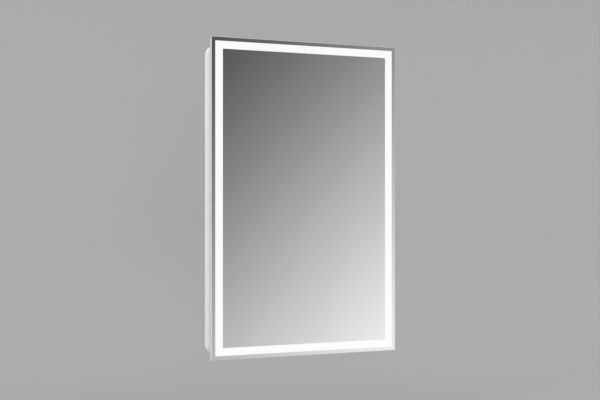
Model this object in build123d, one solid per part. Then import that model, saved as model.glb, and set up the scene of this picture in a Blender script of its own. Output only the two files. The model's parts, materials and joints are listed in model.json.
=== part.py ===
from build123d import *

import math
import os

# A wall-hung medicine cabinet with a lit mirror door.
# X runs to the right, -Y is the front, +Z is up. The wall is the plane y = 0, and the origin
# is the centre of the four wall fixings on it. All sizes are in millimetres.

# ---------------------------------------------------------------- driving dimensions
DOOR_WIDTH = 500
DOOR_HEIGHT = 800
DOOR_THICKNESS = 14
OVERALL_DEPTH = 80
OVERHANG = 4  # of the door past the body at the sides and the bottom
TOP_OVERHANG = 11
DOOR_GAP = 2.4  # between the body's front and the door's back
BODY_RADIUS = 25  # of the body's four corners
SHEET = 1.2  # steel sheet of the body
FLANGE_WIDTH = 16  # from the body's side to the edge of its front opening
EDGE_ROUNDING = 1  # of the wrap's front edge
WALL_RECESS = 4  # from the wall to the back panel
SPACER_RADIUS = 8

MIRROR_GLASS = 4  # thickness of the front mirror
BAND_INSET = 9.8  # from the glass edge to the frosted band
BAND_WIDTH = 19.4
INNER_GLASS = 3  # thickness of both inner mirrors
BACK_MIRROR_SIZE = (460, 670)
BACK_MIRROR_CORNER = 2
ARRIS = 0.6  # ground off the edges of the inner glass

FIXING_SPACING_X = 400
FIXING_SPACING_Z = 720
FIXING_RADIUS = 3

HINGE_LENGTH = 690
KNUCKLE_COUNT = 23
KNUCKLE_RADIUS = 1.6
PIN_RADIUS = 0.8
RUNNING_CLEARANCE = 0.05  # radial, between the pin and its knuckles
KNUCKLE_GAP = 0.4  # between neighbouring knuckles
LEAF = 0.8  # thickness of the hinge leaves

PEG_PITCH = 32
PEG_COUNT = 20
FIRST_PEG_Z = -320
SHELF_PEGS = {"lower": 3, "middle": 9, "upper": 15}  # the peg hole under each shelf
SHELF_GLASS = 5
SHELF_Y = (-57, -15)
PILASTER_Z = (-345, 325)

BUTTON_X, BUTTON_Y = -180, -34
BUTTON_STAND_OUT = 2.4  # of the button below the body
COVER_Z = 335  # underside of the cover over the electrics

LEAD_RADIUS = 1.5
SWITCH_LEAD_RADIUS = 1.25

# ---------------------------------------------------------------- planes worked out from them
GLASS_FRONT = -OVERALL_DEPTH
GLASS_BACK = GLASS_FRONT + MIRROR_GLASS
DOOR_BACK = GLASS_FRONT + DOOR_THICKNESS
BODY_FRONT = DOOR_BACK + DOOR_GAP
FLANGE_BACK = BODY_FRONT + SHEET
PANEL_BACK = -WALL_RECESS
PANEL_FRONT = PANEL_BACK - SHEET
INNER_MIRROR_FRONT = PANEL_FRONT - INNER_GLASS

SIDE = DOOR_WIDTH / 2 - OVERHANG  # outer face of the body's side
SIDE_INNER = SIDE - SHEET
TOP = DOOR_HEIGHT / 2 - TOP_OVERHANG  # outer face of the body's top
FLOOR = OVERHANG - DOOR_HEIGHT / 2  # outer face of the body's underside
FLOOR_INNER = FLOOR + SHEET
FLANGE_EDGE = SIDE - FLANGE_WIDTH
FLANGE_MIDDLE = SIDE - FLANGE_WIDTH / 2

HINGE_X = SIDE + 0.35 + KNUCKLE_RADIUS
HINGE_Y = (DOOR_BACK + BODY_FRONT) / 2
KNUCKLE_PITCH = HINGE_LENGTH / KNUCKLE_COUNT
KNUCKLE_BORE = PIN_RADIUS + RUNNING_CLEARANCE

PILASTER_DEPTH = 5  # how far a shelf bar stands off the side
PILASTER_WIDTH = 14
PILASTER_FACE = SIDE_INNER - PILASTER_DEPTH
PILASTER_Y = {"front": -46, "back": -23}
PILASTER_ARRIS = 0.5
PEG_RADIUS = 2.5
PEG_REACH = 10  # of a shelf pin past the bar's face
PIN_COLLAR = (3.6, 0.8)  # radius and thickness
SLEEVE_RADIUS = 3.1
SLEEVE_END = 9.4  # past the bar's face
SHELF_CLEARANCE = 1.2  # between a shelf and the bars
SHELF_CORNER = 3

FRAME_INSET = 0.5  # of the rails from the glass edge
RAIL_WALL = 1.5
RAIL_WIDTH = 22  # from the glass edge to the inner mirror's seat
GUIDE_THICKNESS = 4
GUIDE_REACH = 5  # of the light guides past the band, on both its sides
GUIDE_EDGES = (BAND_INSET - GUIDE_REACH, BAND_INSET + BAND_WIDTH + GUIDE_REACH)
GUIDE_BACK = GLASS_BACK + GUIDE_THICKNESS
REFLECTOR = 0.5  # thickness of the white film
DEMISTER = 0.5  # thickness of the heating foil


# ---------------------------------------------------------------- helpers
def save(name, *solids):
    """Write one sub-part. Several solids make one group of separate pieces."""
    shape = solids[0] if len(solids) == 1 else Compound(children=list(solids))
    export_step(shape, f"parts/{name}.step")


def block(x, y, z):
    """A box between pairs of limits along X, Y and Z."""
    middle = Pos(sum(x) / 2, sum(y) / 2, sum(z) / 2)
    return middle * Box(abs(x[1] - x[0]), abs(y[1] - y[0]), abs(z[1] - z[0]))


def rod(radius, start, end):
    """A round bar from one point to another."""
    start, end = Vector(*start), Vector(*end)
    along = end - start
    return Solid.make_cylinder(radius, along.length, Plane(origin=start, z_dir=along))


def upright_plate(width, height, radius, front, back):
    """A plate parallel to the wall with rounded corners, from y = front to y = back."""
    outline = RectangleRounded(width, height, radius)
    return extrude(Plane.XZ.offset(-back) * outline, amount=back - front)


def countersunk(radius, head_radius, head_depth, face, point, tail=None):
    """A flush-headed fastener along Y with its head at y = face and its shank ending at point's y.

    tail is the radius and length of a formed rivet end.
    """
    x, end, z = point
    inward = 1 if end > face else -1
    plane = Plane(origin=(x, face, z), z_dir=(0, inward, 0))
    head = Solid.make_cone(head_radius, radius, head_depth, plane)
    piece = head + rod(radius, (x, face + inward * head_depth, z), (x, end, z))
    if tail:
        piece += rod(tail[0], (x, end, z), (x, end + inward * tail[1], z))
    return piece


def lead(radius, points):
    """A round lead along straight runs joined by arcs as large as the runs allow."""
    corners = [Vector(*p) for p in points]
    radii = []
    for before, here, after in zip(corners, corners[1:], corners[2:]):
        first, second = here - before, after - here
        half_turn = math.radians(first.get_angle(second) / 2)
        radii.append(0.45 * min(first.length, second.length) / math.tan(half_turn))
    path = FilletPolyline(*corners, radius=radii)
    section = Plane(origin=path @ 0, z_dir=path % 0) * Circle(radius)
    print("lead radii", [round(r, 1) for r in radii], "length", round(path.length, 1))
    return sweep(section, path=path)


def mitred_side(profile, side):
    """One side of the door's rectangle, mitred at both ends.

    profile is a list of (distance in from the glass edge, y) corners.
    """
    upright = side in ("hinge", "latch")
    span = (DOOR_WIDTH if upright else DOOR_HEIGHT) / 2
    run = (DOOR_HEIGHT if upright else DOOR_WIDTH) / 2
    reach = max(inset for inset, _ in profile) + 1
    corners = [(span - inset, y) for inset, y in profile]
    bar = extrude(make_face(Polyline(*corners, close=True)), amount=run, both=True)
    wedge_outline = Polyline(
        (span, run), (span, -run), (span - reach, reach - run), (span - reach, run - reach), close=True
    )
    wedge = extrude(Plane.XZ * make_face(wedge_outline), amount=OVERALL_DEPTH)
    turn = {"hinge": 0, "latch": 180, "top": -90, "bottom": 90}[side]
    return Rot(0, turn, 0) * (bar & wedge)


# ---------------------------------------------------------------- cabinet body
CATCH_Z = 250  # of the two catches, above and below the middle
CATCH_CUP_RADIUS = 5.5
COVER_SCREW_X = 150
RIVET_RADIUS, RIVET_HEAD = 1.5, 2.4
RIVET_HEAD_DEPTH = 0.6
RIVET_TAIL = (2.5, 1.0)
RIVET_COUNT = 7
BEZEL_RADIUS = 8


def rivet_heights():
    """Heights of the hinge's rivets, evenly spaced to near its ends."""
    spacing = 0.92 * HINGE_LENGTH / (RIVET_COUNT - 1)
    return [(i - (RIVET_COUNT - 1) / 2) * spacing for i in range(RIVET_COUNT)]


def catch_places():
    return [(-FLANGE_MIDDLE, z) for z in (-CATCH_Z, CATCH_Z)]


def cover_screw_places():
    return [(x, TOP - FLANGE_WIDTH / 2) for x in (-COVER_SCREW_X, COVER_SCREW_X)]


def fixing_places():
    return [(x * FIXING_SPACING_X / 2, z * FIXING_SPACING_Z / 2) for x in (-1, 1) for z in (-1, 1)]


def body_plate(inset, front, back):
    """A plate with the body's outline, inset all round."""
    width, height = 2 * (SIDE - inset), TOP - FLOOR - 2 * inset
    plate = upright_plate(width, height, BODY_RADIUS - inset, front, back)
    return Pos(0, 0, (TOP + FLOOR) / 2) * plate


def body_rivet(z):
    leaf_front = BODY_FRONT - LEAF
    end = (FLANGE_MIDDLE, FLANGE_BACK, z)
    return countersunk(RIVET_RADIUS, RIVET_HEAD, RIVET_HEAD_DEPTH, leaf_front, end, RIVET_TAIL)


def body_shell():
    """The rolled wrap: four sides with round corners, its front edge rounded over."""
    shell = body_plate(0, BODY_FRONT, 0)
    shell = fillet(shell.faces().sort_by(Axis.Y)[0].edges(), EDGE_ROUNDING)
    shell -= body_plate(SHEET, BODY_FRONT - 1, 1)
    return shell - on_button_axis(BEZEL_RADIUS, FLOOR - 1, FLOOR_INNER + 1)


def front_frame():
    """A flat frame welded in flush with the wrap's front edge. It carries the hinge and the catches."""
    frame = body_plate(SHEET, BODY_FRONT, FLANGE_BACK) - body_plate(FLANGE_WIDTH, BODY_FRONT - 1, 0)
    for x, z in catch_places():
        frame -= rod(CATCH_CUP_RADIUS, (x, BODY_FRONT - 1, z), (x, FLANGE_BACK + 1, z))
    rivets = [(FLANGE_MIDDLE, z) for z in rivet_heights()]
    for x, z in cover_screw_places() + rivets:
        frame -= rod(RIVET_RADIUS, (x, BODY_FRONT - 1, z), (x, FLANGE_BACK + 1, z))
    return frame


GROMMET_X, GROMMET_Z = -120, 362
GROMMET_HOLE = 8
GROMMET_FLANGE = (11, 1.5)  # radius and thickness
CABLE_BORE = 5
DRIVER_X = (-30, 130)
DRIVER_Z = (343, 385)
DRIVER_DEPTH = 22
DRIVER_LEAD_Z = 364
TERMINAL_X = (-98, -58)


def back_panel():
    """The flat back, let into the wrap, with four fixing holes and the cable hole."""
    panel = body_plate(SHEET, PANEL_FRONT, PANEL_BACK)
    for x, z in fixing_places():
        panel -= rod(FIXING_RADIUS, (x, PANEL_FRONT - 1, z), (x, PANEL_BACK + 1, z))
    panel -= rod(GROMMET_HOLE, (GROMMET_X, PANEL_FRONT - 1, GROMMET_Z), (GROMMET_X, 0, GROMMET_Z))
    return panel


def wall_spacer(x, z):
    """A nylon washer that keeps a fixing screw from dishing the back panel."""
    washer = rod(SPACER_RADIUS, (x, PANEL_BACK, z), (x, 0, z))
    return washer - rod(FIXING_RADIUS, (x, PANEL_BACK - 1, z), (x, 1, z))


def grommet(centre, direction, hole, bore, flange, sheet):
    """A rubber grommet in a hole of a sheet: two flanges and a neck, with a bore through them.

    centre is the middle of the sheet's thickness.
    """
    radius, thickness = flange
    centre, direction = Vector(*centre), Vector(*direction)
    near, far = direction * (sheet / 2), direction * (sheet / 2 + thickness)
    piece = rod(hole, tuple(centre - near), tuple(centre + near))
    piece += rod(radius, tuple(centre + near), tuple(centre + far))
    piece += rod(radius, tuple(centre - far), tuple(centre - near))
    return piece - rod(bore, tuple(centre - far * 2), tuple(centre + far * 2))


def cable_grommet():
    centre = (GROMMET_X, (PANEL_FRONT + PANEL_BACK) / 2, GROMMET_Z)
    return grommet(centre, (0, 1, 0), GROMMET_HOLE, CABLE_BORE, GROMMET_FLANGE, SHEET)


def inner_back_mirror():
    mirror = upright_plate(*BACK_MIRROR_SIZE, BACK_MIRROR_CORNER, INNER_MIRROR_FRONT, PANEL_FRONT)
    return chamfer(mirror.faces().sort_by(Axis.Y)[0].edges(), ARRIS)


# ---------------------------------------------------------------- shelves
def peg_height(index):
    return FIRST_PEG_Z + index * PEG_PITCH


def pilaster(side, y):
    """A shelf bar bonded to a side wall, with a column of peg holes. side is -1 or 1."""
    half = PILASTER_WIDTH / 2
    bar = block((side * PILASTER_FACE, side * SIDE_INNER), (y - half, y + half), PILASTER_Z)
    bar = chamfer(bar.edges().filter_by(Axis.Z), PILASTER_ARRIS)
    for index in range(PEG_COUNT):
        z = peg_height(index)
        bar -= rod(PEG_RADIUS, (side * (PILASTER_FACE - 1), y, z), (side * SIDE_INNER, y, z))
    return bar


def shelf_pin(side, y, z):
    """A steel peg with a collar that stops against the bar."""
    radius, thickness = PIN_COLLAR
    peg = rod(PEG_RADIUS, (side * (SIDE_INNER - 0.5), y, z), (side * (PILASTER_FACE - PEG_REACH), y, z))
    collar = rod(radius, (side * PILASTER_FACE, y, z), (side * (PILASTER_FACE - thickness), y, z))
    return peg + collar


def pin_sleeve(side, y, z):
    start, end = side * (PILASTER_FACE - PIN_COLLAR[1]), side * (PILASTER_FACE - SLEEVE_END)
    return rod(SLEEVE_RADIUS, (start, y, z), (end, y, z)) - rod(PEG_RADIUS, (start, y, z), (end, y, z))


def glass_shelf(peg_index):
    bottom = peg_height(peg_index) + SLEEVE_RADIUS
    half_width = PILASTER_FACE - SHELF_CLEARANCE
    shelf = block((-half_width, half_width), SHELF_Y, (bottom, bottom + SHELF_GLASS))
    shelf = fillet(shelf.edges().filter_by(Axis.Z), SHELF_CORNER)
    return chamfer(shelf.faces().sort_by(Axis.Z)[-1].edges(), ARRIS)


def shelf_supports():
    """Side, y and z of all the pegs in use."""
    return [
        (side, y, peg_height(index))
        for index in SHELF_PEGS.values()
        for side in (-1, 1)
        for y in PILASTER_Y.values()
    ]


# ---------------------------------------------------------------- electrics
TRUNKING_X = (-SIDE_INNER, -SIDE_INNER + 12)
TRUNKING_Y = (PANEL_FRONT - 9, PANEL_FRONT)
SWITCH_LEAD_X = sum(TRUNKING_X) / 2
SWITCH_LEAD_Y = sum(TRUNKING_Y) / 2
TRUNKING_FOOT = -355
TRUNKING_WALL = 1
COVER_SHEET = 1
COVER_CLEARANCE = 0.5  # all round, inside the body
VENT_COUNT = 13
VENT_PITCH = 20
VENT_WIDTH = 4
VENT_Y = (-48, -20)
DOOR_LEAD_X, DOOR_LEAD_Y = 185, -53
LEAD_GROMMET_HOLE = 3.5
LEAD_GROMMET_FLANGE = (5, 1)
SWITCH_LEAD_HOLE = 2
COVER_SCREW_HEAD = 2.9
COVER_SCREW_HEIGHT = 1.2  # of the head
COVER_SCREW_REACH = 5  # past the front frame
SCREW_SLOT = 0.8  # width of the cross slot
SCREW_SLOT_REACH = 4
DRIVER_ROUNDING = 2
FIN_PITCH = 8
FIN_GAP = 3
FIN_DEPTH = 1.2
FIN_SPAN = (DRIVER_X[0] + 20, DRIVER_X[1] - 15)
FIN_MARGIN = 5  # above and below the grooves
TERMINAL_DEPTH = 18
TERMINAL_Z = (352, 376)
TERMINAL_WELL = (2.2, 6)  # radius and depth
TERMINAL_WELL_X = (-90, -78, -66)
TERMINAL_WELL_INSET = 6  # from the block's top and bottom
WIRE_RADIUS = 1
WIRE_Y = -16
WIRE_Z = (356, 361, 366)


def driver_cover():
    """An angled sheet cover that closes off the top of the body, with vent slots underneath."""
    within = body_plate(SHEET + COVER_CLEARANCE, FLANGE_BACK, PANEL_FRONT)
    across = (-SIDE_INNER, SIDE_INNER)
    front = block(across, (FLANGE_BACK, FLANGE_BACK + COVER_SHEET), (COVER_Z, TOP))
    shelf = block(across, (FLANGE_BACK, PANEL_FRONT), (COVER_Z, COVER_Z + COVER_SHEET))
    cover = (front + shelf) & within
    for index in range(VENT_COUNT):
        x = (index - (VENT_COUNT - 1) / 2) * VENT_PITCH
        slot = (x - VENT_WIDTH / 2, x + VENT_WIDTH / 2)
        cover -= block(slot, VENT_Y, (COVER_Z - 1, COVER_Z + 2))
    for x, z in cover_screw_places():
        cover -= rod(RIVET_RADIUS, (x, BODY_FRONT, z), (x, FLANGE_BACK + 3, z))
    lead_holes = (
        (LEAD_GROMMET_HOLE, DOOR_LEAD_X, DOOR_LEAD_Y),
        (SWITCH_LEAD_HOLE, SWITCH_LEAD_X, SWITCH_LEAD_Y),
    )
    for radius, x, y in lead_holes:
        cover -= rod(radius, (x, y, COVER_Z - 1), (x, y, COVER_Z + 2))
    return cover


def cover_screw(x, z):
    """A pan-headed screw with a cross slot."""
    top = BODY_FRONT - COVER_SCREW_HEIGHT
    screw = rod(COVER_SCREW_HEAD, (x, top, z), (x, BODY_FRONT, z))
    screw += rod(RIVET_RADIUS, (x, BODY_FRONT, z), (x, FLANGE_BACK + COVER_SCREW_REACH, z))
    half, depth = SCREW_SLOT / 2, (top - 1, BODY_FRONT - COVER_SCREW_HEIGHT / 2)
    screw -= block((x - SCREW_SLOT_REACH, x + SCREW_SLOT_REACH), depth, (z - half, z + half))
    return screw - block((x - half, x + half), depth, (z - SCREW_SLOT_REACH, z + SCREW_SLOT_REACH))


def lead_grommet():
    centre = (DOOR_LEAD_X, DOOR_LEAD_Y, COVER_Z + COVER_SHEET / 2)
    return grommet(centre, (0, 0, 1), LEAD_GROMMET_HOLE, LEAD_RADIUS, LEAD_GROMMET_FLANGE, COVER_SHEET)


def led_driver():
    """The sealed power supply, with cooling grooves across its front."""
    front = PANEL_FRONT - DRIVER_DEPTH
    body = block(DRIVER_X, (front, PANEL_FRONT), DRIVER_Z)
    body = fillet(body.edges().filter_by(Axis.X), DRIVER_ROUNDING)
    for x in range(*FIN_SPAN, FIN_PITCH):
        groove_z = (DRIVER_Z[0] + FIN_MARGIN, DRIVER_Z[1] - FIN_MARGIN)
        body -= block((x, x + FIN_GAP), (front - 1, front + FIN_DEPTH), groove_z)
    return body


def terminal_block():
    """Three pairs of clamps, each with a screw well in the front."""
    front = PANEL_FRONT - TERMINAL_DEPTH
    body = block(TERMINAL_X, (front, PANEL_FRONT), TERMINAL_Z)
    radius, depth = TERMINAL_WELL
    for x in TERMINAL_WELL_X:
        for z in (TERMINAL_Z[0] + TERMINAL_WELL_INSET, TERMINAL_Z[1] - TERMINAL_WELL_INSET):
            body -= rod(radius, (x, front - 1, z), (x, front + depth, z))
    return body


def supply_wires():
    """Live, neutral and earth, from the terminal block to the driver."""
    return [rod(WIRE_RADIUS, (TERMINAL_X[1], WIRE_Y, z), (DRIVER_X[0], WIRE_Y, z)) for z in WIRE_Z]


def cable_trunking():
    """A square plastic duct in the left back corner."""
    outer = block(TRUNKING_X, TRUNKING_Y, (TRUNKING_FOOT, COVER_Z))
    inner = block(
        (TRUNKING_X[0] + TRUNKING_WALL, TRUNKING_X[1] - TRUNKING_WALL),
        (TRUNKING_Y[0] + TRUNKING_WALL, TRUNKING_Y[1] - TRUNKING_WALL),
        (TRUNKING_FOOT - 1, COVER_Z + 1),
    )
    return outer - inner


def switch_lead():
    """From the push switch, up the trunking, to the driver."""
    return lead(
        SWITCH_LEAD_RADIUS,
        [
            (BUTTON_X - SWITCH_HALF_X, BUTTON_Y, SWITCH_LEAD_Z),
            (-222, BUTTON_Y, SWITCH_LEAD_Z),
            (SWITCH_LEAD_X, SWITCH_LEAD_Y, -366),
            (SWITCH_LEAD_X, SWITCH_LEAD_Y, 352),
            (-224, -13, 384),
            (-54, -13, 384),
            (-43, WIRE_Y, 378),
            (DRIVER_X[0], WIRE_Y, 378),
        ],
    )


# ---------------------------------------------------------------- push button
SWITCH_HALF_X, SWITCH_HALF_Y = 14, 10
SWITCH_FOOT = -381
SWITCH_HEIGHT = 13
SWITCH_ROUNDING = 1.5
SWITCH_COVER_HALF = (24, 18)  # along X and Y
SWITCH_COVER_TOP = -360
SWITCH_COVER_WALL = 1.5
SWITCH_COVER_CORNER = 4
SWITCH_COVER_ROUNDING = 2
SWITCH_LEAD_Z = -374
BUTTON_RADIUS = 6
BEZEL_FLANGE = 11  # radius
BEZEL_BORE = 6.4
BEZEL_LIP = 2  # thickness of the lip at its foot
BEZEL_STAND_OUT = 1.2
SHOULDER_ROOM = 0.8  # radial, for the button's shoulder above the lip
SHOULDER = 0.4  # how far it stands out past the bore
SHOULDER_HEIGHT = 0.4  # of its foot over the lip at rest
NUT_RADIUS, NUT_HEIGHT = 11, 3.5
DISH_RADIUS, DISH_DEPTH = 30, 0.6
CAP_TOP = -388
SPRING_RADIUS, SPRING_WIRE = 3.6, 0.35


def on_button_axis(radius, low, high):
    return rod(radius, (BUTTON_X, BUTTON_Y, low), (BUTTON_X, BUTTON_Y, high))


def button_bezel():
    """A flanged tube through the underside. Its lip keeps the button in."""
    bezel = on_button_axis(BEZEL_FLANGE, FLOOR - BEZEL_STAND_OUT, FLOOR)
    bezel += on_button_axis(BEZEL_RADIUS, FLOOR, SWITCH_FOOT)
    bezel -= on_button_axis(BEZEL_BORE, FLOOR - 5, SWITCH_FOOT + 1)
    return bezel - on_button_axis(BEZEL_BORE + SHOULDER_ROOM, FLOOR + BEZEL_LIP, SWITCH_FOOT + 1)


def button_nut():
    outline = RegularPolygon(NUT_RADIUS, 6)
    nut = extrude(Pos(BUTTON_X, BUTTON_Y, FLOOR_INNER) * outline, amount=NUT_HEIGHT)
    return nut - on_button_axis(BEZEL_RADIUS, FLOOR, FLOOR_INNER + NUT_HEIGHT + 1)


def button_cap():
    """The plunger: a shallow dished face below and a shoulder above that the lip stops."""
    cap = on_button_axis(BUTTON_RADIUS, FLOOR - BUTTON_STAND_OUT, CAP_TOP)
    cap += on_button_axis(BEZEL_BORE + SHOULDER, FLOOR + BEZEL_LIP + SHOULDER_HEIGHT, CAP_TOP)
    dish_centre = FLOOR - BUTTON_STAND_OUT - DISH_RADIUS + DISH_DEPTH
    dish = Pos(BUTTON_X, BUTTON_Y, dish_centre) * Sphere(DISH_RADIUS)
    return cap - dish


def button_spring():
    """A coil spring between the button and the switch."""
    wire_room = SPRING_WIRE + 0.05
    height = SWITCH_FOOT - CAP_TOP - 2 * wire_room
    path = Pos(BUTTON_X, BUTTON_Y, CAP_TOP + wire_room) * Helix(height / 4, height, SPRING_RADIUS)
    section = Plane(origin=path @ 0, z_dir=path % 0) * Circle(SPRING_WIRE)
    return sweep(section, path=path, is_frenet=True)


def switch_module():
    body = block(
        (BUTTON_X - SWITCH_HALF_X, BUTTON_X + SWITCH_HALF_X),
        (BUTTON_Y - SWITCH_HALF_Y, BUTTON_Y + SWITCH_HALF_Y),
        (SWITCH_FOOT, SWITCH_FOOT + SWITCH_HEIGHT),
    )
    return fillet(body.edges().filter_by(Axis.Z), SWITCH_ROUNDING)


def switch_cover():
    """A white plastic box over the switch, open underneath."""
    half_x, half_y = SWITCH_COVER_HALF
    x, y = (BUTTON_X - half_x, BUTTON_X + half_x), (BUTTON_Y - half_y, BUTTON_Y + half_y)
    wall, top = SWITCH_COVER_WALL, SWITCH_COVER_TOP
    cover = block(x, y, (FLOOR_INNER, top))
    cover = fillet(cover.edges().filter_by(Axis.Z), SWITCH_COVER_CORNER)
    cover = fillet(cover.faces().sort_by(Axis.Z)[-1].edges(), SWITCH_COVER_ROUNDING)
    cover -= block((x[0] + wall, x[1] - wall), (y[0] + wall, y[1] - wall), (FLOOR, top - wall))
    hole_start, hole_end = (x[0] - 1, BUTTON_Y, SWITCH_LEAD_Z), (x[0] + 3, BUTTON_Y, SWITCH_LEAD_Z)
    return cover - rod(SWITCH_LEAD_HOLE, hole_start, hole_end)


# ---------------------------------------------------------------- hinge, catches, bumpers
LEAF_INNER_EDGE = FLANGE_EDGE + 1
LEAF_OUTER_EDGE = SIDE - 0.5
PIN_HEAD = (1.4, 0.8)  # radius and thickness
CUP_RIM = (6.8, 0.8)  # radius and thickness
CUP_DEPTH = 6
MAGNET_RADIUS = 4.2
MAGNET_DEPTH = 4.5
MAGNET_STAND_OUT = 1.4  # from the front frame
STRIKE_HALF = (7, 12)  # along X and Z
STRIKE_THICKNESS = 0.4
STRIKE_CORNER = 2
BUMPER_RADII = (4, 3)  # at its foot and its top
BUMPER_ROOM = 0.4  # between a bumper and the shut door
BUMPER_ROUNDING = 0.5
BUMPER_OFFSET = 8  # from the end of the corner's arc


def knuckle_span(index):
    low = -HINGE_LENGTH / 2 + index * KNUCKLE_PITCH + KNUCKLE_GAP / 2
    return low, low + KNUCKLE_PITCH - KNUCKLE_GAP


def hinge_leaf(front, back, first_knuckle):
    """A leaf with every second knuckle rolled round the pin, from y = front to y = back."""
    half = HINGE_LENGTH / 2
    leaf = block((LEAF_INNER_EDGE, LEAF_OUTER_EDGE), (front, back), (-half, half))
    for index in range(first_knuckle, KNUCKLE_COUNT, 2):
        low, high = knuckle_span(index)
        leaf += block((LEAF_OUTER_EDGE, HINGE_X), (front, back), (low, high))
        leaf += rod(KNUCKLE_RADIUS, (HINGE_X, HINGE_Y, low), (HINGE_X, HINGE_Y, high))
    return leaf - rod(KNUCKLE_BORE, (HINGE_X, HINGE_Y, -half - 1), (HINGE_X, HINGE_Y, half + 1))


def hinge_body_leaf():
    leaf = hinge_leaf(BODY_FRONT - LEAF, BODY_FRONT, 0)
    for z in rivet_heights():
        leaf -= body_rivet(z)
    return leaf


def hinge_pin():
    """A full-length pin with a flat head at each end."""
    half = HINGE_LENGTH / 2
    radius, head = PIN_HEAD
    pin = rod(PIN_RADIUS, (HINGE_X, HINGE_Y, -half - head), (HINGE_X, HINGE_Y, half + head))
    for low in (-half - head, half):
        pin += rod(radius, (HINGE_X, HINGE_Y, low), (HINGE_X, HINGE_Y, low + head))
    return pin


def door_rivet(z):
    leaf_back = DOOR_BACK + LEAF
    end = (FLANGE_MIDDLE, DOOR_BACK - RAIL_WALL, z)
    return countersunk(RIVET_RADIUS, RIVET_HEAD, RIVET_HEAD_DEPTH, leaf_back, end, RIVET_TAIL)


def hinge_door_leaf():
    leaf = hinge_leaf(DOOR_BACK, DOOR_BACK + LEAF, 1)
    for z in rivet_heights():
        leaf -= door_rivet(z)
    return leaf


def catch_cup(x, z):
    """A plastic cup pressed into the front frame."""
    radius, thickness = CUP_RIM
    cup = rod(radius, (x, BODY_FRONT - thickness, z), (x, BODY_FRONT, z))
    cup += rod(CATCH_CUP_RADIUS, (x, BODY_FRONT, z), (x, BODY_FRONT + CUP_DEPTH, z))
    return cup - rod(MAGNET_RADIUS, (x, BODY_FRONT - 1, z), (x, BODY_FRONT + MAGNET_DEPTH, z))


def catch_magnet(x, z):
    front, back = BODY_FRONT - MAGNET_STAND_OUT, BODY_FRONT + MAGNET_DEPTH
    return rod(MAGNET_RADIUS, (x, front, z), (x, back, z))


def strike_plate(x, z):
    half_x, half_z = STRIKE_HALF
    depth = (DOOR_BACK, DOOR_BACK + STRIKE_THICKNESS)
    plate = block((x - half_x, x + half_x), depth, (z - half_z, z + half_z))
    return fillet(plate.edges().filter_by(Axis.Y), STRIKE_CORNER)


def door_bumper(x, z):
    """A clear tapered bumper stuck to the front frame."""
    plane = Plane(origin=(x, BODY_FRONT, z), z_dir=(0, -1, 0))
    bumper = Solid.make_cone(*BUMPER_RADII, DOOR_GAP - BUMPER_ROOM, plane)
    return fillet(bumper.faces().sort_by(Axis.Y)[0].edges(), BUMPER_ROUNDING)


def bumper_places():
    inset = BODY_RADIUS + BUMPER_OFFSET
    heights = (FLOOR + inset, TOP - inset)
    return [(side * FLANGE_MIDDLE, z) for side in (-1, 1) for z in heights]


# ---------------------------------------------------------------- door
BOSS_X = (205, 225)
BOSS_Z = (306, 334)
BOSS_DEPTH = 5.5
BOSS_WALL = 1.5
BOSS_FLOOR = 8  # solid foot that grips the lead
BOSS_ROUNDING = 1.5
BOSS_LEAD_X = 215
BOSS_LEAD_Y = DOOR_BACK + 2.9
LOOP_FOOT = 276

MIRROR_ARRIS = 0.5
LEDGE = 8  # of the rails under the inner mirror
GROOVE_ROOM = 0.4  # round the fixed knuckles

LED_PITCH = 25
LED_CHIP = 3.5
LED_END_GAP = 12  # from a strip's end to the glass edge
LED_BOARD = 1  # thickness of the circuit board
LED_BOARD_Y = (GLASS_BACK + 0.5, GLASS_BACK + 7)
LED_CHIP_Y = (GLASS_BACK + 0.8, GLASS_BACK + 3.6)
LED_CHIP_HEIGHT = 0.7
DEMISTER_SIZE = (300, 520)
CORE_SIZE = (426, 726)
CORE_CORNER = 2
DEMISTER_CORNER = 8
KEY_BAND = (6, 18)  # a corner key's limits, in from the glass edge
KEY_ARM = 50  # from the glass edge to the end of its arm
KEY_THICKNESS = 3.6
KEY_SCREW_INSET = 12
KEY_SCREW_RUN = 36
KEY_SCREW_HEAD = (2.7, 1.2)  # radius and depth
KEY_SCREW_REACH = 3.2  # into the key
LEAD_HOLE = 3.5
LEAD_HOLE_SHIFT = (-4, 6)  # along X and Z, from the middle of the lead's cover


def mirror_glass():
    """The whole front of the door: 4 mm silvered glass with seamed edges."""
    half_w, half_h = DOOR_WIDTH / 2, DOOR_HEIGHT / 2
    glass = block((-half_w, half_w), (GLASS_FRONT, GLASS_BACK), (-half_h, half_h))
    return chamfer(glass.edges(), MIRROR_ARRIS)


def door_rail(side):
    """Extruded rail: an outer wall, a back flange, and a rebate that the inner mirror sits in."""
    ledge = DOOR_BACK - INNER_GLASS
    profile = [
        (FRAME_INSET, GLASS_BACK),
        (FRAME_INSET, DOOR_BACK),
        (RAIL_WIDTH, DOOR_BACK),
        (RAIL_WIDTH, ledge),
        (RAIL_WIDTH + LEDGE, ledge),
        (RAIL_WIDTH + LEDGE, ledge - RAIL_WALL),
        (RAIL_WIDTH - RAIL_WALL, ledge - RAIL_WALL),
        (RAIL_WIDTH - RAIL_WALL, DOOR_BACK - RAIL_WALL),
        (FRAME_INSET + RAIL_WALL, DOOR_BACK - RAIL_WALL),
        (FRAME_INSET + RAIL_WALL, GLASS_BACK),
    ]
    rail = mitred_side(profile, side)
    for x, z in key_screw_places():
        rail -= key_screw(x, z)
    if side == "hinge":
        # a groove that the fixed knuckles turn in
        half, radius = DOOR_HEIGHT / 2, KNUCKLE_RADIUS + GROOVE_ROOM
        rail -= rod(radius, (HINGE_X, HINGE_Y, -half), (HINGE_X, HINGE_Y, half))
        for z in rivet_heights():
            rail -= door_rivet(z)
    return rail


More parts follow.
